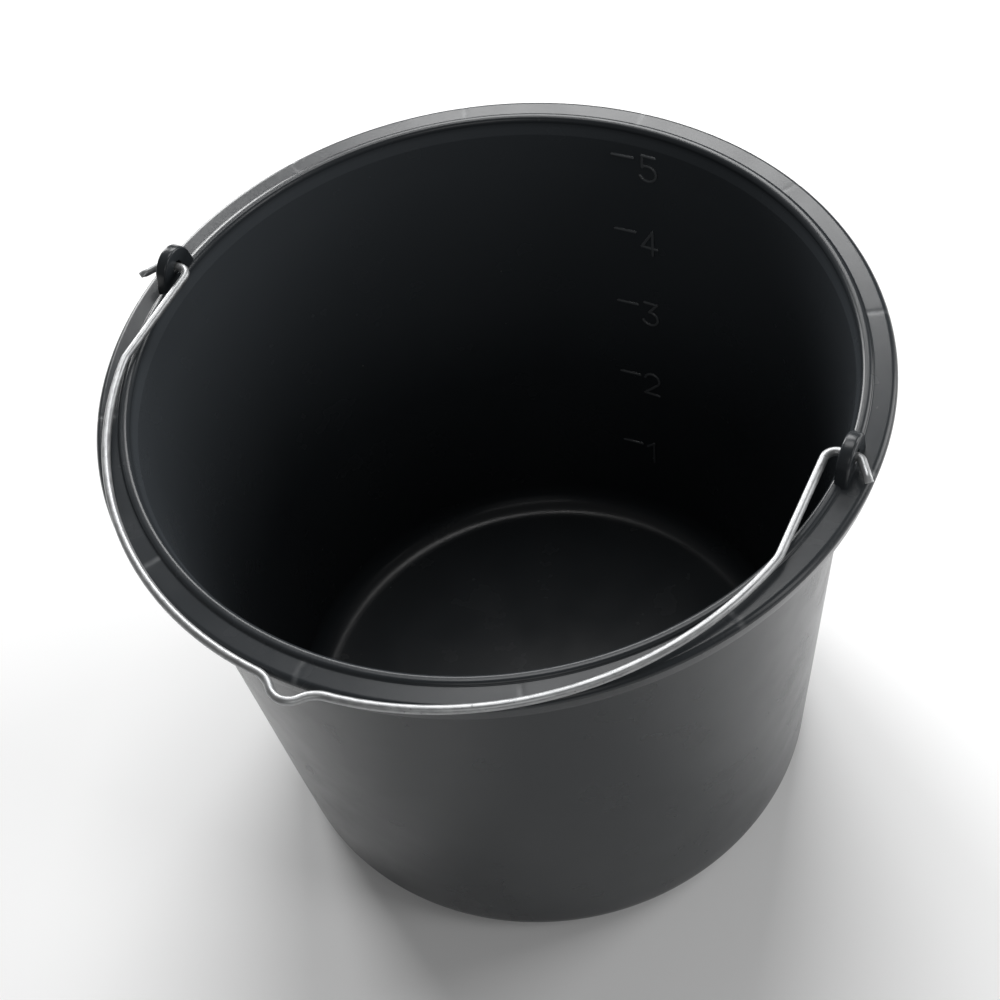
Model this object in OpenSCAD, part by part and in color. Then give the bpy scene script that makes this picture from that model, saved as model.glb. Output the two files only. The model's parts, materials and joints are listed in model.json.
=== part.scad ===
// Five-litre florist bucket: a one-piece moulded bucket and its swinging wire bail.
// Origin at the centre of the resting face, +Z up, the bail's hinge axis along X.
// At rest the bail lies on the rim on the -Y side, and the litre scale is inside on the +Y side.

/* [Bucket] */
// Outer diameter across the rim
rim_d = 230; // [228:1:234]
// Height from the resting face to the flat top of the rim
bucket_h = 182; // [174:1:190]
// Outer diameter of the wall where its line meets the resting plane
base_d = 182.8; // [178:0.4:186]
// Outer diameter of the wall at the height of the skirt's lower edge
neck_d = 210.4; // [209:0.2:210.8]
// Thickness of the wall
wall_t = 1.6; // [1.4:0.1:1.8]
// Thickness of the floor over the foot ring
floor_t = 2; // [1.8:0.1:2.6]
// Outer radius of the rounded bottom corner
corner_r = 11.5; // [9:0.5:14]
// Inner diameter of the flat foot ring
foot_d = 138; // [120:1:144]
// Depth of the recess inside the foot ring
recess_h = 0.8; // [0.4:0.1:1]

/* [Rim] */
// Thickness of the flat rim flange
flange_t = 1.8; // [1.6:0.1:2.2]
// Radius of the flange's rounded outer edge
edge_r = 2; // [1.5:0.1:2.2]
// Depth of the turned-down skirt below the top of the flange
skirt_h = 6.5; // [5.5:0.1:8]
// Thickness of the skirt
skirt_t = 1.5; // [1.2:0.1:1.6]
// Radius of the raised inner lip's round bead
lip_r = 1.5; // [1.3:0.1:1.6]
// Height of the lip above the flange
lip_rise = 0.9; // [0.6:0.1:1.1]
// Diameter of the mouth, inside the lip
mouth_d = 210; // [209.2:0.2:211]
// Number of stiffening ribs under the flange
rib_count = 12; // [8, 12, 16]
// Thickness of each rib
rib_t = 1.4; // [1:0.1:2]

/* [Ears] */
// Width of each ear at its foot, along the rim
ear_w = 17; // [15:0.5:18]
// Height of each ear above the flange
ear_h = 10.8; // [10:0.2:12]
// Radius of each ear's round top
ear_top_r = 7; // [6:0.5:8]
// Thickness of each ear
ear_t = 3.8; // [3.6:0.1:4.2]
// Chamfer round the edge of each ear
ear_chamfer = 0.7; // [0.3:0.1:1]
// Diameter of the hole that the wire swings in
ear_hole_d = 4; // [3.4:0.1:4.4]
// Height of the hole's centre above the flange
ear_hole_h = 4.7; // [4.7:0.1:5.2]

/* [Bail] */
// Diameter of the wire
wire_d = 2.5; // [2.2:0.1:2.6]
// Radius of the bail's main arc
bail_r = 104.5; // [104:0.1:105]
// Distance from the hinge axis to the centre of the main arc
bail_rise = 12; // [11:0.5:13]
// Distance from the bail's middle plane to each straight leg
leg_x = 101.4; // [101:0.1:101.6]
// Bend radius between a leg and the main arc
shoulder_r = 10; // [8:1:14]
// Distance from the hinge axis to the tip of the hanging notch
notch_v = 121; // [119.5:0.5:122]
// Bend radius at the tip of the notch
notch_tip_r = 6; // [5:0.5:8]
// Bend radius where the notch runs out into the main arc
notch_side_r = 9; // [7:0.5:10]
// Angle by which the resting bail droops below the hinge axis
rest_tilt = 2; // [1.4:0.1:2]

/* [Litre scale] */
// Number of one-litre marks
litres = 5; // [4, 5]
// Length of each dash
dash_l = 8.3; // [6:0.1:10]
// Overall height of each digit
digit_h = 11; // [8:0.5:12]
// Overall width of each digit
digit_w = 6.8; // [5:0.1:7.5]
// Width of the raised strokes
stroke_w = 1.2; // [0.8:0.1:1.4]
// Height of the raised strokes above the wall
raised = 0.6; // [0.3:0.1:0.8]

/* [Hidden] */
$fn = 96;

plastic = [0.09, 0.1, 0.11];
zinc = [0.78, 0.79, 0.8];

// Wall line, which leans outwards by the draft angle
skirt_z = bucket_h - skirt_h;
draft = atan((neck_d - base_d) / 2 / skirt_z);
function wall_r(z) = base_d / 2 + z * tan(draft);
function bore_r(z) = wall_r(z) - wall_t / cos(draft);

// Overlap of shapes that are cut away or joined
overlap = 1;

// Rim
rim_r = rim_d / 2;
mouth_r = mouth_d / 2;
edge_x = rim_r - edge_r;
flange_z = bucket_h - flange_t;
rim_top = bucket_h + lip_rise;
lip_c = [mouth_r + lip_r, rim_top - lip_r];
skirt_lean = 0.9;
haunch_w = 2.2;
haunch_h = 1.2;
ledge_depth = 4.5;
ledge_step = 0.2;
ledge_z = bucket_h - ledge_depth;
rib_depth = 5.2;
rib_in = mouth_r + 0.3;
rib_out = edge_x + 0.3;

// Underside
gate_d = 5;
gate_h = 0.6;

// Ears
ear_x = mouth_r + 0.6;
ear_sink = 1;
hinge_z = bucket_h + ear_hole_h;

// Ear outline: the round top's centre, a foot corner, and the turn at which a side touches the round top
ear_c = [0, ear_h - ear_top_r];
ear_foot = [ear_w / 2, -ear_sink];
ear_side = ear_foot - ear_c;
side_a = atan2(ear_side[1], ear_side[0]) + acos(ear_top_r / norm(ear_side));
ear_steps = 18;

// Bail hooks
hook_r = 3.4;
tail_r = 2.5;
tail_turn = 57;
tail_l = 7;
tail_x = ear_x + ear_t - 0.2;
tail_start = [tail_x, tail_r] + tail_r * [sin(tail_turn), -cos(tail_turn)];

// Bail centres: the main arc, the notch's tip, and the side bend that touches both arcs
arc_c = [0, bail_rise];
tip_c = [0, notch_v - notch_tip_r];
tip_rise = tip_c[1] - arc_c[1];
side_reach = bail_r + notch_side_r;
tip_reach = notch_tip_r + notch_side_r;
side_y = (pow(side_reach, 2) - pow(tip_reach, 2) + pow(tip_rise, 2)) / (2 * tip_rise);
side_c = arc_c + [sqrt(pow(side_reach, 2) - pow(side_y, 2)), side_y];
main_a = atan2(side_y, side_c[0]);
tip_a = atan2(side_c[1] - tip_c[1], side_c[0]);

// Bail shoulder, between the main arc and the leg
shoulder_x = leg_x - shoulder_r;
shoulder_y = sqrt(pow(bail_r - shoulder_r, 2) - pow(shoulder_x, 2));
shoulder_a = atan2(shoulder_y, shoulder_x);
shoulder_c = arc_c + [shoulder_x, shoulder_y];

// Thinner stretches of the wire
thin_d = wire_d - 0.02;
lap = 0.12;

// Litre scale
raised_sink = 0.4;
dash_turn = 1.9;
digit_turn = 3.1;
digit_rise = 2.5;
litre_mm3 = 1000000;

// Distance from a corner to the tangent points of its fillet; the corner opens 90 degrees plus the draft
function fillet_run(r) = r / tan(45 + draft / 2);

// Space that the inner bottom fillet takes from the bucket's content, as its section's area times the path
// of the section's centroid
centroid_in = 0.22;
function fillet_space(r) = (r * fillet_run(r) - r * r * PI * (90 - draft) / 360)
    * 2 * PI * (bore_r(floor_t) - centroid_in * r);

// Content up to the height z
function content(z) = PI * (z - floor_t) / 3
    * (pow(bore_r(floor_t), 2) + bore_r(floor_t) * bore_r(z) + pow(bore_r(z), 2))
    - fillet_space(corner_r - wall_t);

// Height of a content, by halving the range between low and high
function level(v, low = floor_t, high = bucket_h, steps = 24) =
    steps == 0 ? (low + high) / 2
    : content((low + high) / 2) < v ? level(v, (low + high) / 2, high, steps - 1)
    : level(v, low, (low + high) / 2, steps - 1);

// Outline between a bottom corner and its fillet arc
module corner_sliver(corner, r) {
    run = fillet_run(r);
    centre = corner + [-run, r];
    difference() {
        polygon([corner, corner + [-run, 0], centre, corner + run * [sin(draft), cos(draft)]]);
        translate(centre) circle(r);
    }
}

// Outline between the right-angled outer corner of the flange and its rounded edge
module edge_sliver() {
    translate([edge_x, bucket_h - edge_r])
        difference() {
            square(edge_r + overlap);
            circle(edge_r);
        }
}

// Outline between the square top of the lip and its round bead
module lip_sliver() {
    difference() {
        polygon([
            [mouth_r - overlap, lip_c[1]],
            lip_c,
            [lip_c[0], bucket_h],
            [lip_c[0] + lip_r + overlap, bucket_h],
            [lip_c[0] + lip_r + overlap, lip_c[1] + lip_r + overlap],
            [mouth_r - overlap, lip_c[1] + lip_r + overlap],
        ]);
        translate(lip_c) circle(lip_r);
    }
}

// Half section of the cavity, with its rounded bottom corner
module cavity_section() {
    difference() {
        polygon([
            [0, floor_t],
            [bore_r(floor_t), floor_t],
            [bore_r(ledge_z), ledge_z],
            [bore_r(ledge_z) + ledge_step, ledge_z],
            [mouth_r, lip_c[1]],
            [mouth_r, rim_top + overlap],
            [0, rim_top + overlap],
        ]);
        corner_sliver([bore_r(floor_t), floor_t], corner_r - wall_t);
    }
}

// Half section of the floor, the wall and the rim
module shell_section() {
    difference() {
        polygon([
            [0, recess_h],
            [foot_d / 2 - recess_h, recess_h],
            [foot_d / 2, 0],
            [base_d / 2, 0],
            [wall_r(skirt_z), skirt_z],
            [mouth_r + haunch_w, flange_z - haunch_h],
            [mouth_r + haunch_w + haunch_h, flange_z],
            [rim_r - skirt_t, flange_z],
            [rim_r - skirt_lean - skirt_t, skirt_z],
            [rim_r - skirt_lean, skirt_z],
            [rim_r, bucket_h - edge_r],
            [rim_r, bucket_h],
            [mouth_r + 2 * lip_r, bucket_h],
            [mouth_r + 2 * lip_r, rim_top],
            [0, rim_top],
        ]);
        corner_sliver([base_d / 2, 0], corner_r);
        edge_sliver();
        lip_sliver();
        cavity_section();
    }
}

module ribs() {
    for (i = [0 : rib_count - 1])
        rotate([0, 0, i * 360 / rib_count])
            translate([rib_in, -rib_t / 2, bucket_h - rib_depth])
                cube([rib_out - rib_in, rib_t, rib_depth - flange_t / 2]);
}

// Outline of an ear, set in from its edge: x along the rim, y up from the flange
function ear_ring(inset) = [
    ear_foot - [inset / cos(side_a), 0],
    for (i = [0 : ear_steps])
        let (a = side_a + (180 - 2 * side_a) * i / ear_steps)
            ear_c + (ear_top_r - inset) * [cos(a), sin(a)],
    [inset / cos(side_a) - ear_foot[0], ear_foot[1]],
];

// Flat plate between two outlines of an ear, each chamfered towards its face
module ear_plate() {
    layers = [[0, ear_chamfer], [ear_chamfer, 0], [ear_t - ear_chamfer, 0], [ear_t, ear_chamfer]];
    count = len(ear_ring(0));
    polyhedron(
        points = [
            for (layer = layers, p = ear_ring(layer[1])) [p[0], p[1], layer[0]]
        ],
        faces = [
            [for (i = [0 : count - 1]) i],
            for (k = [0 : len(layers) - 2], i = [0 : count - 1])
                let (next = (i + 1) % count)
                    [k * count + i, (k + 1) * count + i, (k + 1) * count + next, k * count + next],
            [for (i = [count - 1 : -1 : 0]) (len(layers) - 1) * count + i],
        ]
    );
}

// Upright plate on the flange at +X, with leaning sides, a round top, chamfered edges and a hole
module ear() {
    translate([ear_x, 0, bucket_h])
        rotate([90, 0, 90])
            difference() {
                ear_plate();
                translate([0, ear_hole_h, -overlap])
                    cylinder(h = ear_t + 2 * overlap, d = ear_hole_d);
            }
}

// Straight stroke, whose ends are half octagons so that every side of it is flat
module stroke(from, to) {
    run = to - from;
    translate(from)
        rotate(atan2(run[1], run[0])) {
            circle(d = stroke_w, $fn = 8);
            translate([0, -stroke_w / 2]) square([norm(run), stroke_w]);
            translate([norm(run), 0]) circle(d = stroke_w, $fn = 8);
        }
}

// Curved stroke of radius r from angle a to angle b, in flat-sided steps
module bow(centre, r, a, b) {
    steps = 8;
    turns = [for (i = [0 : steps]) a + (b - a) * i / steps];
    inner = r - stroke_w / 2;
    outer = r + stroke_w / 2;
    translate(centre)
        polygon([
            for (t = turns) outer * [cos(t), sin(t)],
            for (i = [steps : -1 : 0]) inner * [cos(turns[i]), sin(turns[i])],
        ]);
}

// Digit n in shares of the digit box, with the lower left end of its strokes at the origin
module digit(n) {
    w = digit_w - stroke_w;
    h = digit_h - stroke_w;
    if (n == 1) {
        stroke([w * 0.55, 0], [w * 0.55, h]);
        stroke([w * 0.1, h * 0.76], [w * 0.55, h]);
    }
    if (n == 2) {
        bow([w / 2, h - w / 2], w / 2, -35, 165);
        stroke([w / 2 * (1 + cos(35)), h - w / 2 * (1 + sin(35))], [0, 0]);
        stroke([0, 0], [w, 0]);
    }
    if (n == 3) {
        stroke([w * 0.08, h], [w * 0.9, h]);
        stroke([w * 0.4, h * 0.6], [w * 0.9, h]);
        bow([w * 0.44, h * 0.3], h * 0.3, -150, 95);
    }
    if (n == 4) {
        stroke([0, h * 0.28], [w, h * 0.28]);
        stroke([w * 0.7, 0], [w * 0.7, h]);
        stroke([0, h * 0.28], [w * 0.7, h]);
    }
    if (n == 5) {
        stroke([w * 0.12, h], [w * 0.92, h]);
        stroke([w * 0.12, h], [w * 0.12, h * 0.54]);
        bow([w * 0.45, h * 0.31], h * 0.31, -150, 128);
    }
}

// Raises a flat outline from the inside of the wall at height z, turned round the axis from +Y
module on_wall(z, turn) {
    rotate([0, 0, turn])
        translate([0, bore_r(z), z])
            rotate([90 - draft, 0, 0])
                translate([0, 0, -raised_sink])
                    linear_extrude(raised_sink + raised)
                        children();
}

module litre_scale() {
    for (n = [1 : litres]) {
        on_wall(level(n * litre_mm3), dash_turn)
            stroke([(stroke_w - dash_l) / 2, 0], [(dash_l - stroke_w) / 2, 0]);
        on_wall(level(n * litre_mm3), -digit_turn)
            translate([(stroke_w - digit_w) / 2, digit_rise + stroke_w / 2 - digit_h])
                digit(n);
    }
}

module bucket() {
    color(plastic) {
        rotate_extrude() shell_section();
        ribs();
        translate([0, 0, recess_h - gate_h]) cylinder(h = gate_h + recess_h, d = gate_d);
        ear();
        mirror([1, 0, 0]) ear();
        litre_scale();
    }
}

// Straight wire between two points of the bail's plane, with a lap beyond each end
module wire_run(from, to, d = wire_d, lap = 0) {
    run = to - from;
    translate([from[0], from[1], 0])
        rotate([0, 0, atan2(run[1], run[0])])
            rotate([0, 90, 0])
                translate([0, 0, -lap])
                    cylinder(h = norm(run) + 2 * lap, d = d);
}

// Bent wire of radius r from angle a to angle b in the bail's plane, with a lap beyond each end
module wire_bend(centre, r, a, b, d = wire_d, lap = 0) {
    more = lap / r * 180 / PI;
    translate([centre[0], centre[1], 0])
        rotate([0, 0, a - more])
            rotate_extrude(angle = b - a + 2 * more)
                translate([r, 0])
                    circle(d = d);
}

// Half of the bail in its own plane, from the notch to the tail: x along the hinge axis, y away from it.
// Every second stretch is a hair thinner and laps into its neighbours, so the wire is one solid.
module half_bail() {
    wire_bend(side_c, notch_side_r, tip_a + 180, main_a + 180, thin_d, lap);
    wire_bend(arc_c, bail_r, shoulder_a, main_a);
    wire_bend(shoulder_c, shoulder_r, 0, shoulder_a, thin_d, lap);
    wire_run([leg_x, shoulder_c[1]], [leg_x, hook_r]);
    wire_bend([leg_x + hook_r, hook_r], hook_r, 180, 270, thin_d, lap);
    wire_run([leg_x + hook_r, 0], [tail_x, 0]);
    wire_bend([tail_x, tail_r], tail_r, -90, tail_turn - 90, thin_d, lap);
    wire_run(tail_start, tail_start + tail_l * [cos(tail_turn), sin(tail_turn)]);
}

// The bail's plane turns about the hinge axis, and points down by the rest tilt on the -Y side
module bail() {
    color(zinc)
        translate([0, 0, hinge_z])
            rotate([180 + rest_tilt, 0, 0]) {
                wire_bend(tip_c, notch_tip_r, tip_a, 180 - tip_a);
                half_bail();
                mirror([1, 0, 0]) half_bail();
            }
}

bucket();
bail();
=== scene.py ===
"""Florist bucket: the looks of the moulded bucket and of its wire bail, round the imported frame."""

import json
import math

import bmesh
import bpy
from mathutils import Matrix, Vector, noise


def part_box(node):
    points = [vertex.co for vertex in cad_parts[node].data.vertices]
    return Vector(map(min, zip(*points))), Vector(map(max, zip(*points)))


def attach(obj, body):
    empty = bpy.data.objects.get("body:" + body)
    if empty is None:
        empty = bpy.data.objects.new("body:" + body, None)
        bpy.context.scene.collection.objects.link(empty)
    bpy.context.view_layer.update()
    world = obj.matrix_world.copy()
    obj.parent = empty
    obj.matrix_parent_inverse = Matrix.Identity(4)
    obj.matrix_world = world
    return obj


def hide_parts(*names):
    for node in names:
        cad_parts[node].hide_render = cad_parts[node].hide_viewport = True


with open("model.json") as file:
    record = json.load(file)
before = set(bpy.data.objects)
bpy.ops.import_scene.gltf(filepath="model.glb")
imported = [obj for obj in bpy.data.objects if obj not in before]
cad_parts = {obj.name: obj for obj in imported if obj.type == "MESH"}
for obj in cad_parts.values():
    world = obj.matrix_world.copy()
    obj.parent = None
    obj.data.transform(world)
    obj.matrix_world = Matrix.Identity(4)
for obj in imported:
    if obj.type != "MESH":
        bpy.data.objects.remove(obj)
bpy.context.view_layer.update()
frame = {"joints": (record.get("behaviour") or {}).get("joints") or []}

MM = 0.001
TAU = math.tau

# ---------------------------------------------------------------- sizes, in millimetres
HINGE = frame["joints"][0]
HINGE_Z = HINGE["pos_m"][2] / MM
RIM_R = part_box("bucket")[1].x / MM
EAR_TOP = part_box("bucket")[1].z / MM
EAR_H = 10.8
RIM_Z = EAR_TOP - EAR_H

# Shell
BASE_R = 91.4
NECK_R = 105.2
SKIRT_Z = RIM_Z - 6.5
WALL = 1.6
FLOOR = 2.0
CORNER_R = 11.5
FOOT_R = 69.0
RECESS = 0.8
MOUTH_R = 105.0
LIP_R = 1.5
LIP_TOP = RIM_Z + 0.9
FLANGE = 1.8
EDGE_R = 2.0
SKIRT = 1.5
LEAN = (NECK_R - BASE_R) / SKIRT_Z
DRAFT = math.atan(LEAN)
RIBS = 12
RIB = 1.4
RIB_DROP = 5.2
LEDGE_DROP = 4.5
WAVE = 0.16
SINK = 0.07
SINK_W = 0.8

# Ears
EAR_W = 17.0
EAR_T = 3.8
EAR_X = MOUTH_R + 0.6
EAR_TOP_R = 7.0
HOLE_R = 2.0

# Bail
WIRE_R = 1.25
ARC_R = 104.5
ARC_Y = 12.0
LEG_X = 101.4
SHOULDER_R = 10.0
NOTCH_Y = 121.0
NOTCH_R = 6.0
NOTCH_SIDE_R = 9.0
HOOK_R = 3.4
TAIL_R = 2.5
TAIL_TURN = math.radians(57)
TAIL_L = 7.0
REST_TILT = math.radians(2)

# Litre scale
LITRES = 5
DASH = 8.3
DIGIT_H = 11.0
DIGIT_W = 6.8
STROKE = 1.2
RAISED = 0.6
DASH_TURN = math.radians(1.9)
DIGIT_TURN = math.radians(-3.1)
DIGIT_DROP = 2.5

# ---------------------------------------------------------------- camera
CAM_AZIMUTH = math.radians(33.4)
CAM_ELEVATION = 0.8249
CAM_DISTANCE = 4.515 * RIM_R
CAM_ROLL = -0.1776
CAM_AIM = (-0.0072, -0.0752)
CAM_LENS = 64.97
CAM_SENSOR = 36.0


def make_camera():
    """The camera looks at the rim's centre, a little off it, and is rolled."""
    a, e = CAM_AZIMUTH, CAM_ELEVATION
    back = Vector((math.sin(a) * math.cos(e), -math.cos(a) * math.cos(e), math.sin(e)))
    right = Vector((math.cos(a), math.sin(a), 0))
    up = back.cross(right)
    look = (-back + CAM_AIM[0] * right + CAM_AIM[1] * up).normalized()
    right = look.cross(up).normalized()
    up = right.cross(look)
    x = math.cos(CAM_ROLL) * right + math.sin(CAM_ROLL) * up
    y = math.cos(CAM_ROLL) * up - math.sin(CAM_ROLL) * right
    data = bpy.data.cameras.new("camera")
    data.lens = CAM_LENS
    data.sensor_width = CAM_SENSOR
    camera = bpy.data.objects.new("camera", data)
    turn = Matrix((x, y, -look)).transposed().to_4x4()
    place = (Vector((0, 0, RIM_Z)) + back * CAM_DISTANCE) * MM
    camera.matrix_world = Matrix.Translation(place) @ turn
    bpy.context.scene.collection.objects.link(camera)
    bpy.context.scene.camera = camera


# ---------------------------------------------------------------- mesh helpers
def new_object(name, verts, faces):
    """A mesh object from points in millimetres."""
    mesh = bpy.data.meshes.new(name)
    mesh.from_pydata([Vector(v) * MM for v in verts], [], faces)
    mesh.validate()
    mesh.update()
    obj = bpy.data.objects.new(name, mesh)
    bpy.context.scene.collection.objects.link(obj)
    return obj


def rounded(corners, steps=5):
    """An outline through corners (x, y, fillet radius), with each fillet as an arc."""
    out = []
    count = len(corners)
    for i, (x, y, r) in enumerate(corners):
        here = Vector((x, y))
        if r == 0:
            out.append(here)
            continue
        before = (Vector(corners[i - 1][:2]) - here).normalized()
        after = (Vector(corners[(i + 1) % count][:2]) - here).normalized()
        half = before.angle(after) / 2
        run = r / math.tan(half)
        centre = here + (before + after).normalized() * (r / math.sin(half))
        a = here + before * run - centre
        b = here + after * run - centre
        sweep = a.angle_signed(b)
        number = max(2, math.ceil(abs(sweep) / TAU * 8 * steps))
        for k in range(number + 1):
            out.append(centre + Matrix.Rotation(-sweep * k / number, 2) @ a)
    return out


def loft(rings, close_rings=False):
    """Quads between rings of equally many points, each ring closed on itself."""
    size = len(rings[0])
    verts = [p for ring in rings for p in ring]
    faces = []
    for i in range(len(rings) if close_rings else len(rings) - 1):
        j = (i + 1) % len(rings)
        for k in range(size):
            n = (k + 1) % size
            faces.append((i * size + k, i * size + n, j * size + n, j * size + k))
    return verts, faces


def face_out(obj):
    """Turns a closed mesh's faces outwards."""
    bm = bmesh.new()
    bm.from_mesh(obj.data)
    if bm.calc_volume(signed=True) < 0:
        bmesh.ops.reverse_faces(bm, faces=bm.faces)
    bm.to_mesh(obj.data)
    bm.free()


def join_solids(base, batches):
    """Adds closed meshes to a closed mesh, so that they are one solid.

    Those in one batch don't overlap each other.
    """
    face_out(base)
    for batch in batches:
        for tool in batch:
            face_out(tool)
        tool = batch[0]
        with bpy.context.temp_override(active_object=tool, selected_editable_objects=batch):
            bpy.ops.object.join()
        union = base.modifiers.new("union", "BOOLEAN")
        union.operation = "UNION"
        union.solver = "MANIFOLD"
        union.object = tool
        with bpy.context.temp_override(object=base, active_object=base):
            bpy.ops.object.modifier_apply(modifier=union.name)
        bpy.data.objects.remove(tool)


def shade(obj, degrees=32):
    """Smooth shading, with sharp edges where faces meet at more than the angle."""
    for face in obj.data.polygons:
        face.use_smooth = True
    obj.data.set_sharp_from_angle(angle=math.radians(degrees))


# ---------------------------------------------------------------- bucket
def wall_r(z):
    return BASE_R + z * LEAN


def bore_r(z):
    return wall_r(z) - WALL / math.cos(DRAFT)


def shell_section():
    """The closed half section of floor, wall and rim, from the underside's centre outwards."""
    ledge_z = RIM_Z - LEDGE_DROP
    flange_z = RIM_Z - FLANGE
    return rounded([
        (0, 0.25, 0),
        (2.5, 0.25, 0.3),
        (2.5, RECESS, 0.2),
        (FOOT_R - RECESS, RECESS, 0.6),
        (FOOT_R, 0, 0.5),
        (BASE_R, 0, CORNER_R),
        (wall_r(SKIRT_Z), SKIRT_Z, 3),
        (MOUTH_R + 2.2, flange_z - 1.2, 0.6),
        (MOUTH_R + 3.4, flange_z, 0.6),
        (RIM_R - SKIRT, flange_z, 0.6),
        (RIM_R - SKIRT - 0.9, SKIRT_Z, 0.35),
        (RIM_R - 0.9, SKIRT_Z, 0.5),
        (RIM_R, RIM_Z - EDGE_R, 0.6),
        (RIM_R, RIM_Z, EDGE_R - 0.05),
        (MOUTH_R + 2 * LIP_R + 0.25, RIM_Z, 0.6),
        (MOUTH_R + 2 * LIP_R - 0.1, LIP_TOP, LIP_R - 0.1),
        (MOUTH_R, LIP_TOP, LIP_R - 0.02),
        (MOUTH_R, RIM_Z - 1, 0.5),
        (bore_r(ledge_z) + 0.2, ledge_z + 0.3, 0.3),
        (bore_r(ledge_z), ledge_z - 0.3, 0.3),
        (bore_r(FLOOR), FLOOR, CORNER_R - WALL),
        (0, FLOOR, 0),
    ])


def finer(points, longest):
    """An open outline with its long straight runs cut into steps."""
    out = [points[0]]
    for a, b in zip(points, points[1:]):
        steps = max(1, math.ceil((b - a).length / longest))
        out += [a.lerp(b, k / steps) for k in range(1, steps + 1)]
    return out


def turns():
    """The angles of the shell's columns: even, and closer together over each rib."""
    even = [TAU * i / 360 for i in range(360)]
    close = []
    for i in range(RIBS):
        close += [TAU * i / RIBS + math.radians(d) for d in (-0.66, -0.33, 0.33, 0.66)]
    return sorted(even + [t % TAU for t in close])


def wall_wave(turn, z):
    """How far the moulded wall strays from a true cone, in millimetres."""
    fade = min(1, max(0, z - 12) / 30) * min(1, max(0, SKIRT_Z - 4 - z) / 30)
    place = Vector((math.cos(turn) * 1.6, math.sin(turn) * 1.6, z / 75))
    return WAVE * fade * noise.noise(place)


def rib_sink(turn, r, z):
    """The shallow sink over each rib, in millimetres, on the flange's top and edge."""
    if z < RIM_Z - EDGE_R - 0.5 or r < MOUTH_R + 2 * LIP_R:
        return 0
    off = (turn + TAU / RIBS / 2) % (TAU / RIBS) - TAU / RIBS / 2
    return SINK * math.exp(-((off * r / SINK_W) ** 2))


def make_shell():
    section = finer(shell_section(), 6)
    columns = turns()
    count = len(columns)
    verts, faces = [(0, 0, section[0].y)], []
    inner = section[1:-1]
    for p in inner:
        for t in columns:
            on_wall = p.x > 80 and p.y > 10
            r = p.x + (wall_wave(t, p.y) if on_wall else 0)
            sink = rib_sink(t, p.x, p.y)
            verts.append(((r - sink * 0.3) * math.cos(t), (r - sink * 0.3) * math.sin(t), p.y - sink))
    verts.append((0, 0, section[-1].y))
    last = len(verts) - 1
    for k in range(count):
        n = (k + 1) % count
        faces.append((0, 1 + n, 1 + k))
        faces.append((last, last - count + k, last - count + n))
        for i in range(len(inner) - 1):
            a, b = 1 + i * count, 1 + (i + 1) * count
            faces.append((a + k, a + n, b + n, b + k))
    return new_object("bucket", verts, faces)


def make_rib(turn):
    """A stiffening rib between the haunch and the skirt, under the flange."""
    low, high = RIM_Z - RIB_DROP, RIM_Z - FLANGE / 2
    inner, outer = MOUTH_R + 0.3, RIM_R - EDGE_R + 0.3
    half = RIB / 2
    corners = [(inner, -half), (outer, -half), (outer, half), (inner, half)]
    rings = []
    for z in (low, high):
        ring = []
        for x, y in corners:
            ring.append((x * math.cos(turn) - y * math.sin(turn), x * math.sin(turn) + y * math.cos(turn), z))
        rings.append(ring)
    verts, faces = loft(rings)
    faces += [(3, 2, 1, 0), (4, 5, 6, 7)]
    return new_object("rib", verts, faces)


def ear_reach(turn, inset):
    """How far the ear's outline, set in from its edge, is from the hole's centre in a direction."""
    foot = Vector((EAR_W / 2, RIM_Z - 1))
    top = Vector((0, EAR_TOP - EAR_TOP_R))
    side = foot - top
    lean = math.atan2(side.y, side.x) + math.acos(EAR_TOP_R / side.length)
    way = Vector((abs(math.cos(turn)), math.sin(turn)))
    start = Vector((0, HINGE_Z)) - top
    b = way.dot(start)
    reach = -b + math.sqrt(b * b - start.dot(start) + (EAR_TOP_R - inset) ** 2)
    hit = start + way * reach
    if math.atan2(hit.y, hit.x) >= lean:
        return reach
    normal = Vector((math.cos(lean), math.sin(lean)))
    to_foot = (foot.y - HINGE_Z) / min(way.y, -1e-6)
    if normal.dot(way) < 1e-6:
        return to_foot
    return min(to_foot, (EAR_TOP_R - inset - normal.dot(start)) / normal.dot(way))


def make_ear(side):
    """An upright plate with leaning sides, a round top, rounded edges and a hole."""
    edge, soft, count = 0.8, 0.3, 144
    arc = [math.radians(d) for d in (0, 18, 36, 54, 72, 90)]
    angles = [TAU * i / count for i in range(count)]

    def ring(depth, inset, outer):
        """A ring of points round the hole, or along the outline, set in from the face's edge."""
        out = []
        for a in angles:
            r = ear_reach(a, inset) if outer else HOLE_R + inset
            out.append((depth, r * math.cos(a), HINGE_Z + r * math.sin(a)))
        return out

    rings = [ring(soft * (1 - math.sin(a)), soft * (1 - math.cos(a)), False) for a in arc]
    rings += [ring(edge * (1 - math.sin(a)), edge * (1 - math.cos(a)), True) for a in reversed(arc)]
    rings += [ring(EAR_T - edge * (1 - math.sin(a)), edge * (1 - math.cos(a)), True) for a in arc]
    rings += [ring(EAR_T - soft * (1 - math.sin(a)), soft * (1 - math.cos(a)), False) for a in reversed(arc)]
    verts, faces = loft(rings, close_rings=True)
    verts = [(side * (EAR_X + x), y, z) for x, y, z in verts]
    return new_object("ear", verts, faces)


# ---------------------------------------------------------------- litre scale
def content(z):
    """Litres in the bucket up to a height, less the ring that the rounded corner takes."""
    centroid_in = 0.22
    low, high = bore_r(FLOOR), bore_r(z)
    r = CORNER_R - WALL
    run = r / math.tan(math.pi / 4 + DRAFT / 2)
    corner = (r * run - r * r * (math.pi / 2 - DRAFT) / 2) * TAU * (low - centroid_in * r)
    return (math.pi * (z - FLOOR) / 3 * (low * low + low * high + high * high) - corner) / 1e6


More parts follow.
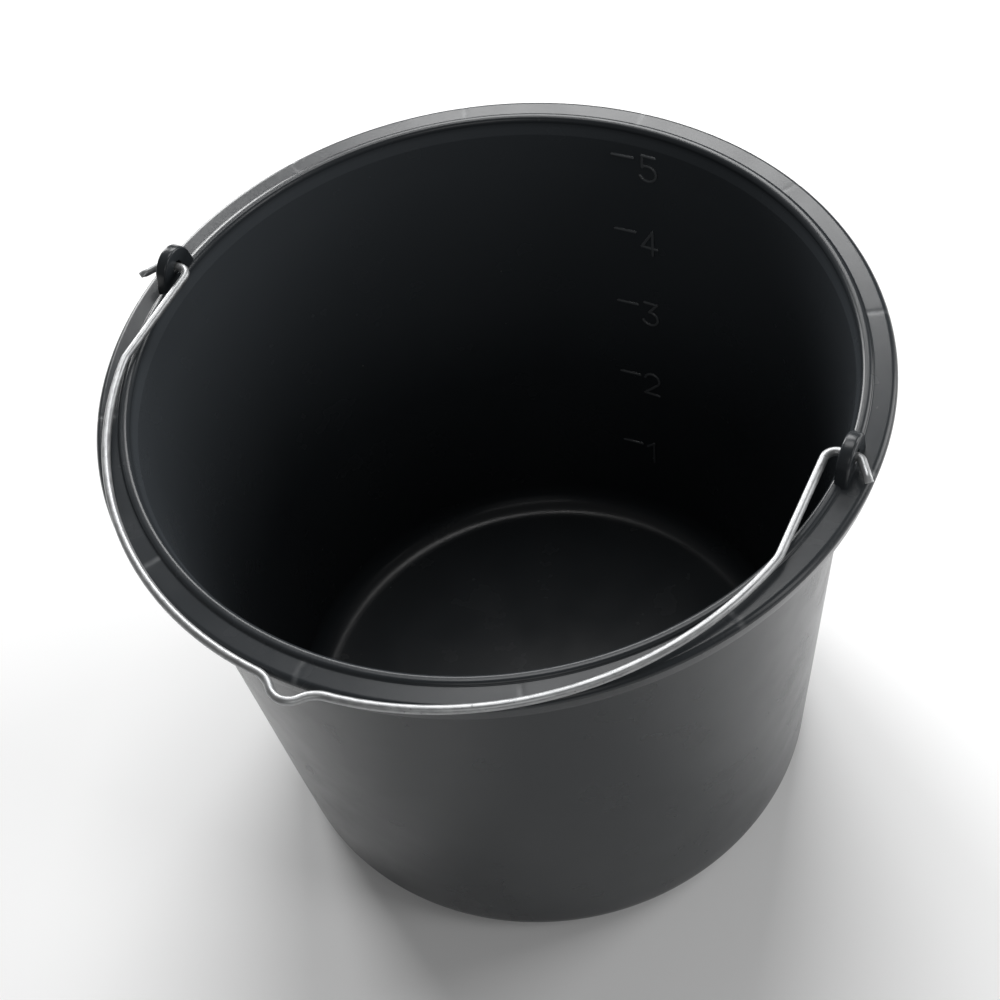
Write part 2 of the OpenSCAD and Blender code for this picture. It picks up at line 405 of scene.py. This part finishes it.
def level(litres):
    """The height at which the bucket holds that many litres, by halving."""
    low, high = FLOOR, RIM_Z
    for _ in range(30):
        middle = (low + high) / 2
        low, high = (middle, high) if content(middle) < litres else (low, middle)
    return low


def arc_points(centre, r, a, b, steps=14):
    angles = [math.radians(a + (b - a) * i / steps) for i in range(steps + 1)]
    return [(centre[0] + r * math.cos(t), centre[1] + r * math.sin(t)) for t in angles]


def digit_strokes(n):
    """The digit's strokes as lines of points, from the lower left end of its strokes."""
    w, h = DIGIT_W - STROKE, DIGIT_H - STROKE
    if n == 1:
        return [[(w * 0.55, 0), (w * 0.55, h)], [(w * 0.1, h * 0.76), (w * 0.55, h)]]
    if n == 2:
        bow = arc_points((w / 2, h - w / 2), w / 2, 165, -35)
        return [bow + [(0, 0)], [(0, 0), (w, 0)]]
    if n == 3:
        bow = arc_points((w * 0.44, h * 0.3), h * 0.3, 95, -150)
        return [[(w * 0.08, h), (w * 0.9, h)], [(w * 0.9, h), (w * 0.4, h * 0.6)], bow]
    if n == 4:
        return [[(0, h * 0.28), (w, h * 0.28)], [(w * 0.7, 0), (w * 0.7, h)], [(0, h * 0.28), (w * 0.7, h)]]
    bow = arc_points((w * 0.45, h * 0.31), h * 0.31, 128, -150)
    return [[(w * 0.12, h), (w * 0.92, h)], [(w * 0.12, h), (w * 0.12, h * 0.54)], bow]


def on_wall(z, turn, x, y, up):
    """A point of a flat outline laid on the inside of the wall at a height, and its distance above it."""
    out = bore_r(z) + y * math.sin(DRAFT) - up * math.cos(DRAFT)
    high = z + y * math.cos(DRAFT) + up * math.sin(DRAFT)
    return (x * math.cos(turn) - out * math.sin(turn), x * math.sin(turn) + out * math.cos(turn), high)


def make_stroke(line, place):
    """A raised stroke with rounded edges and ends along a line of points."""
    half = STROKE / 2
    sink = 0.45
    across = []
    for i in range(9):
        a = math.pi * i / 8
        across.append((math.cos(a), math.sin(a) ** 0.85))
    points = [Vector(p) for p in line]
    ends = [math.radians(d) for d in (78, 60, 40, 20)]
    stations = []
    first = (points[1] - points[0]).normalized()
    last = (points[-1] - points[-2]).normalized()
    for a in ends:
        stations.append((points[0] - first * half * math.sin(a), first, math.cos(a)))
    for i, p in enumerate(points):
        way = points[min(i + 1, len(points) - 1)] - points[max(i - 1, 0)]
        stations.append((p, way.normalized(), 1))
    for a in reversed(ends):
        stations.append((points[-1] + last * half * math.sin(a), last, math.cos(a)))
    rings = []
    for p, way, share in stations:
        side = Vector((way.y, -way.x))
        ring = []
        for u, v in across:
            q = p + side * (u * half * share)
            ring.append(place(q.x, q.y, v * RAISED * share ** 0.35))
        for u in (-0.92, 0.92):
            q = p + side * (u * half * share)
            ring.append(place(q.x, q.y, -sink))
        rings.append(ring)
    verts, faces = loft(rings)
    size = len(rings[0])
    faces.append(tuple(reversed(range(size))))
    faces.append(tuple(range(len(verts) - size, len(verts))))
    return new_object("stroke", verts, faces)


def make_scale():
    """The dashes and the digits' strokes, in batches whose solids don't overlap."""
    batches = [[], [], []]
    run = (DASH - STROKE) / 2
    for n in range(1, LITRES + 1):
        z = level(n)

        def dash_place(x, y, up, z=z):
            return on_wall(z, DASH_TURN, x, y, up)

        def digit_place(x, y, up, z=z):
            shift = (STROKE - DIGIT_W) / 2
            return on_wall(z, DIGIT_TURN, x + shift, y + DIGIT_DROP + STROKE / 2 - DIGIT_H, up)

        batches[0].append(make_stroke([(-run, 0), (run, 0)], dash_place))
        for batch, line in zip(batches, digit_strokes(n)):
            batch.append(make_stroke(line, digit_place))
    return batches


def make_bucket():
    bucket = make_shell()
    batches = make_scale()
    batches[0] += [make_ear(1), make_ear(-1)]
    batches[1] += [make_rib(TAU * i / RIBS) for i in range(RIBS)]
    join_solids(bucket, batches)
    shade(bucket)
    bucket.data.materials.clear()
    bucket.data.materials.append(black_plastic())
    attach(bucket, "bucket")
    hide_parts("bucket")


# ---------------------------------------------------------------- bail
def half_line():
    """The wire's centre line in the bail's plane, from the notch's tip to the wire's end."""
    tip = Vector((0, NOTCH_Y - NOTCH_R))
    arc = Vector((0, ARC_Y))
    rise = tip.y - arc.y
    reach, near = ARC_R + NOTCH_SIDE_R, NOTCH_R + NOTCH_SIDE_R
    side_y = (reach ** 2 - near ** 2 + rise ** 2) / (2 * rise)
    side = arc + Vector((math.sqrt(reach ** 2 - side_y ** 2), side_y))
    main_a = math.atan2(side_y, side.x - arc.x)
    tip_a = math.atan2(side.y - tip.y, side.x)
    shoulder_x = LEG_X - SHOULDER_R
    shoulder_y = math.sqrt((ARC_R - SHOULDER_R) ** 2 - shoulder_x ** 2)
    shoulder = arc + Vector((shoulder_x, shoulder_y))
    shoulder_a = math.atan2(shoulder_y, shoulder_x)
    tail_x = EAR_X + EAR_T - 0.2

    def bend(centre, r, a, b, step=0.8):
        count = max(3, math.ceil(abs(b - a) * r / step))
        angles = [a + (b - a) * i / count for i in range(count + 1)]
        return [centre + Vector((math.cos(t), math.sin(t))) * r for t in angles]

    points = bend(tip, NOTCH_R, math.pi / 2, tip_a)
    points += bend(side, NOTCH_SIDE_R, tip_a + math.pi, main_a + math.pi)
    points += bend(arc, ARC_R, main_a, shoulder_a, 1.6)
    points += bend(shoulder, SHOULDER_R, shoulder_a, 0)
    points += [Vector((LEG_X, HOOK_R + (shoulder.y - HOOK_R) * k / 10)) for k in range(10, -1, -1)]
    points += bend(Vector((LEG_X + HOOK_R, HOOK_R)), HOOK_R, math.pi, math.pi * 1.5, 0.5)
    points += [Vector((LEG_X + HOOK_R, 0)).lerp(Vector((tail_x, 0)), k / 4) for k in range(5)]
    points += bend(Vector((tail_x, TAIL_R)), TAIL_R, -math.pi / 2, TAIL_TURN - math.pi / 2, 0.4)
    end = points[-1]
    way = Vector((math.cos(TAIL_TURN), math.sin(TAIL_TURN)))
    points += [end + way * (TAIL_L * k / 8) for k in range(1, 9)]
    line = [points[0]]
    for p in points[1:]:
        if (p - line[-1]).length > 0.05:
            line.append(p)
    return line


def to_row(x, y, up):
    """A point of the resting bail's plane, in the row frame."""
    turn = math.pi + REST_TILT
    return (x, y * math.cos(turn) - up * math.sin(turn), HINGE_Z + y * math.sin(turn) + up * math.cos(turn))


def make_bail():
    half = half_line()
    line = [Vector((-p.x, p.y)) for p in reversed(half[1:])] + half
    sides = 28
    chisel = 1.6
    length = [0]
    for a, b in zip(line, line[1:]):
        length.append(length[-1] + (b - a).length)
    rings, marks = [], []
    for i, p in enumerate(line):
        way = (line[min(i + 1, len(line) - 1)] - line[max(i - 1, 0)]).normalized()
        side = Vector((way.y, -way.x))
        from_end = min(length[i], length[-1] - length[i])
        pinch = min(1, 0.12 + 0.88 * from_end / chisel)
        ring = []
        for k in range(sides):
            a = TAU * k / sides
            across, up = WIRE_R * math.cos(a), WIRE_R * math.sin(a) * pinch
            q = p + side * across
            ring.append(to_row(q.x, q.y, up))
            marks.append((length[i], across, WIRE_R * math.sin(a)))
        rings.append(ring)
    verts, faces = loft(rings)
    faces.append(tuple(reversed(range(sides))))
    faces.append(tuple(range(len(verts) - sides, len(verts))))
    bail = new_object("bail", verts, faces)
    along = bail.data.attributes.new("wire_place", "FLOAT_VECTOR", "POINT")
    along.data.foreach_set("vector", [c for m in marks for c in m])
    shade(bail, 40)
    bail.data.materials.append(galvanised_wire())
    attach(bail, "bail")
    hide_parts("bail")


# ---------------------------------------------------------------- materials
class Nodes:
    """Short ways to add and link a material's nodes."""

    def __init__(self, name):
        self.material = bpy.data.materials.new(name)
        self.material.use_nodes = True
        self.tree = self.material.node_tree
        self.shader = next(n for n in self.tree.nodes if n.type == "BSDF_PRINCIPLED")

    def add(self, kind, **settings):
        node = self.tree.nodes.new(kind)
        for key, value in settings.items():
            setattr(node, key, value)
        return node

    def link(self, a, b):
        self.tree.links.new(a, b)

    def put(self, socket, value):
        """Links a socket, or sets a number or colour, on an input."""
        if isinstance(value, bpy.types.NodeSocket):
            self.link(value, socket)
        else:
            socket.default_value = value

    def math(self, operation, a, b=0.0, clamp=False):
        node = self.add("ShaderNodeMath", operation=operation, use_clamp=clamp)
        self.put(node.inputs[0], a)
        self.put(node.inputs[1], b)
        return node.outputs[0]

    def noise(self, place, scale, detail=2.0, rough=0.5):
        node = self.add("ShaderNodeTexNoise")
        self.put(node.inputs["Vector"], place)
        node.inputs["Scale"].default_value = scale
        node.inputs["Detail"].default_value = detail
        node.inputs["Roughness"].default_value = rough
        return node.outputs[0]

    def stretch(self, place, factors):
        node = self.add("ShaderNodeVectorMath", operation="MULTIPLY")
        self.put(node.inputs[0], place)
        node.inputs[1].default_value = factors
        return node.outputs[0]

    def span(self, value, low, high, to_low=0.0, to_high=1.0):
        """Maps low..high to to_low..to_high, and clamps."""
        node = self.add("ShaderNodeMapRange", clamp=True)
        self.put(node.inputs[0], value)
        for i, v in enumerate((low, high, to_low, to_high), 1):
            self.put(node.inputs[i], v)
        return node.outputs[0]

    def mix(self, share, a, b):
        node = self.add("ShaderNodeMix", data_type="RGBA")
        self.put(node.inputs[0], share)
        self.put(node.inputs[6], a)
        self.put(node.inputs[7], b)
        return node.outputs[2]

    def bump(self, height, strength, distance, before=None):
        node = self.add("ShaderNodeBump")
        self.put(node.inputs["Height"], height)
        node.inputs["Strength"].default_value = strength
        node.inputs["Distance"].default_value = distance
        if before is not None:
            self.link(before, node.inputs["Normal"])
        return node.outputs[0]

    def split(self, place):
        node = self.add("ShaderNodeSeparateXYZ")
        self.put(node.inputs[0], place)
        return node.outputs[0], node.outputs[1], node.outputs[2]


def black_plastic():
    """Satin black polypropylene: grain, draw marks, smudges, dust, painted light on the bore's upper part,
    and painted highlights over the ribs and on the litre marks.
    """
    m = Nodes("black_plastic")
    place = m.add("ShaderNodeTexCoord").outputs["Object"]
    x, y, z = m.split(place)
    radius = m.math("SQRT", m.math("ADD", m.math("MULTIPLY", x, x), m.math("MULTIPLY", y, y)))
    turn = m.math("ARCTAN2", y, x)

    smudge = m.noise(place, 22, 4, 0.6)
    cloud = m.noise(place, 60, 3, 0.55)
    darker, lighter = (0.0198, 0.0226, 0.0253, 1), (0.0228, 0.0258, 0.0288, 1)
    colour = m.mix(m.span(smudge, 0.35, 0.68), darker, lighter)

    # The bore's colour is paler towards its mouth: painted light where light falls on its upper part
    slope = m.math("MULTIPLY", z, LEAN)
    depth = m.math("SUBTRACT", m.math("ADD", slope, bore_r(0) * MM), radius)
    bore_painted_light = m.math("MULTIPLY", m.span(depth, -0.0012, -0.0006), m.span(z, 0.07, 0.165))
    colour = m.mix(m.math("MULTIPLY", bore_painted_light, 0.85), colour, (0.05, 0.056, 0.062, 1))
    # The raised litre marks are painted pale all over: a painted highlight on the strokes
    low_mark = m.math("MULTIPLY", m.span(depth, 0.0002, 0.0004), m.span(depth, 0.0009, 0.0011, 1.0, 0.0))
    painted_mark_highlight = m.math("MULTIPLY", low_mark, m.span(z, 0.025, 0.03))
    colour = m.mix(m.math("MULTIPLY", painted_mark_highlight, 0.5), colour, (0.13, 0.136, 0.142, 1))

    # Painted highlight: pale lines over the ribs, on top of the flange, where the sink over each rib catches
    # the light
    cell = m.math("FRACT", m.math("ADD", m.math("MULTIPLY", turn, RIBS / TAU), 0.5 + RIBS))
    off = m.math("MULTIPLY", m.math("ABSOLUTE", m.math("SUBTRACT", cell, 0.5)), TAU / RIBS * RIM_R)
    line = m.span(off, 0.25, 1.3, 1.0, 0.0)
    on_top = m.span(z, (RIM_Z - 2.5) * MM, (RIM_Z - 1) * MM)
    on_rim = m.math("MULTIPLY", on_top, m.span(radius, (MOUTH_R + 2.8) * MM, (MOUTH_R + 3.8) * MM))
    patchy = m.span(m.noise(place, 160, 2), 0.38, 0.62)
    line = m.math("MULTIPLY", m.math("MULTIPLY", line, on_rim), patchy)
    colour = m.mix(m.math("MULTIPLY", line, 0.75), colour, (0.1, 0.104, 0.108, 1))

    # Dust: a few small pale specks
    specks = m.add("ShaderNodeTexVoronoi", feature="F1")
    m.put(specks.inputs["Vector"], place)
    specks.inputs["Scale"].default_value = 260
    near = m.span(specks.outputs["Distance"], 0.03, 0.075, 1.0, 0.0)
    red = m.add("ShaderNodeSeparateColor")
    m.link(specks.outputs["Color"], red.inputs[0])
    chosen = m.math("GREATER_THAN", red.outputs[0], 0.994)
    dust = m.math("MULTIPLY", near, chosen)
    colour = m.mix(m.math("MULTIPLY", dust, 0.5), colour, (0.22, 0.22, 0.21, 1))
    m.link(colour, m.shader.inputs["Base Color"])

    rough = m.span(cloud, 0.3, 0.7, 0.22, 0.28)
    rough = m.math("ADD", rough, m.span(smudge, 0.3, 0.75, -0.01, 0.02))
    rough = m.math("ADD", rough, m.math("MULTIPLY", dust, 0.3), clamp=True)
    m.link(rough, m.shader.inputs["Roughness"])
    m.shader.inputs["IOR"].default_value = 1.36

    grain = m.noise(place, 2600, 2, 0.6)
    draw = m.noise(m.stretch(place, (1, 1, 0.03)), 900, 2, 0.6)
    soft = m.noise(m.stretch(place, (1, 1, 0.3)), 30, 1, 0.5)
    normal = m.bump(grain, 0.12, 0.00008)
    normal = m.bump(draw, 0.06, 0.00006, normal)
    normal = m.bump(soft, 0.07, 0.0009, normal)
    m.link(normal, m.shader.inputs["Normal"])
    return m.material


def galvanised_wire():
    """Drawn galvanised wire: streaks along it, a mottled zinc skin and small dark nicks."""
    m = Nodes("galvanised_wire")
    place = m.add("ShaderNodeAttribute", attribute_name="wire_place").outputs["Vector"]
    streak = m.noise(m.stretch(place, (0.1, 1.8, 1.8)), 1.0, 2, 0.5)
    spangle = m.noise(m.stretch(place, (0.35, 0.8, 0.8)), 1.0, 2, 0.5)
    nick = m.noise(m.stretch(place, (0.9, 1.0, 1.0)), 1.1, 1, 0.4)
    colour = m.mix(m.span(spangle, 0.35, 0.65), (0.27, 0.275, 0.28, 1), (0.37, 0.376, 0.38, 1))
    colour = m.mix(m.span(streak, 0.42, 0.7, 0.0, 0.4), colour, (0.45, 0.456, 0.46, 1))
    dark = m.span(nick, 0.7, 0.76)
    colour = m.mix(m.math("MULTIPLY", dark, 0.6), colour, (0.12, 0.12, 0.12, 1))
    m.link(colour, m.shader.inputs["Base Color"])
    m.shader.inputs["Metallic"].default_value = 0.7
    rough = m.span(spangle, 0.3, 0.7, 0.34, 0.44)
    rough = m.math("ADD", rough, m.math("MULTIPLY", dark, 0.2), clamp=True)
    m.link(rough, m.shader.inputs["Roughness"])
    normal = m.bump(streak, 0.15, 0.00005)
    normal = m.bump(spangle, 0.12, 0.00008, normal)
    m.link(normal, m.shader.inputs["Normal"])
    return m.material


# ---------------------------------------------------------------- stage
WORLD = 0.13
# Name, place, width and height in metres, and watts
LAMPS = (
    ("back_left", (-0.45, 1.15, 1.05), 0.8, 0.6, 15),
    ("back_high", (-0.15, 0.4, 1.5), 0.6, 0.6, 7),
    ("left", (-1.2, 0.8, 0.6), 0.5, 0.9, 18),
    ("right", (1.3, 0.1, 0.75), 0.4, 1.0, 4),
    ("back_right", (0.95, 1.0, 0.6), 0.6, 0.9, 9),
    ("front", (0.55, -1.1, 0.95), 0.8, 0.6, 2.5),
)


def make_stage():
    """A plain pale floor in a dim white studio, with large soft lamps."""
    size = 3000
    corners = [(-size, -size, 0), (size, -size, 0), (size, size, 0), (-size, size, 0)]
    floor = new_object("floor", corners, [(0, 1, 2, 3)])
    pale = Nodes("pale_floor")
    pale.shader.inputs["Base Color"].default_value = (0.85, 0.85, 0.85, 1)
    pale.shader.inputs["Roughness"].default_value = 0.9
    pale.shader.inputs["Specular IOR Level"].default_value = 0.1
    floor.data.materials.append(pale.material)

    world = bpy.data.worlds.new("studio")
    world.use_nodes = True
    background = world.node_tree.nodes["Background"]
    background.inputs["Color"].default_value = (1, 1, 1, 1)
    background.inputs["Strength"].default_value = WORLD
    bpy.context.scene.world = world

    target = Vector((0, 0, 0.1))
    for name, spot, wide, tall, watts in LAMPS:
        data = bpy.data.lights.new(name, "AREA")
        data.shape = "RECTANGLE"
        data.size = wide
        data.size_y = tall
        data.energy = watts
        lamp = bpy.data.objects.new(name, data)
        lamp.location = spot
        lamp.rotation_euler = (target - Vector(spot)).to_track_quat("-Z", "Y").to_euler()
        bpy.context.scene.collection.objects.link(lamp)


make_camera()
make_bucket()
make_bail()
make_stage()
bpy.context.scene.view_settings.view_transform = "Standard"
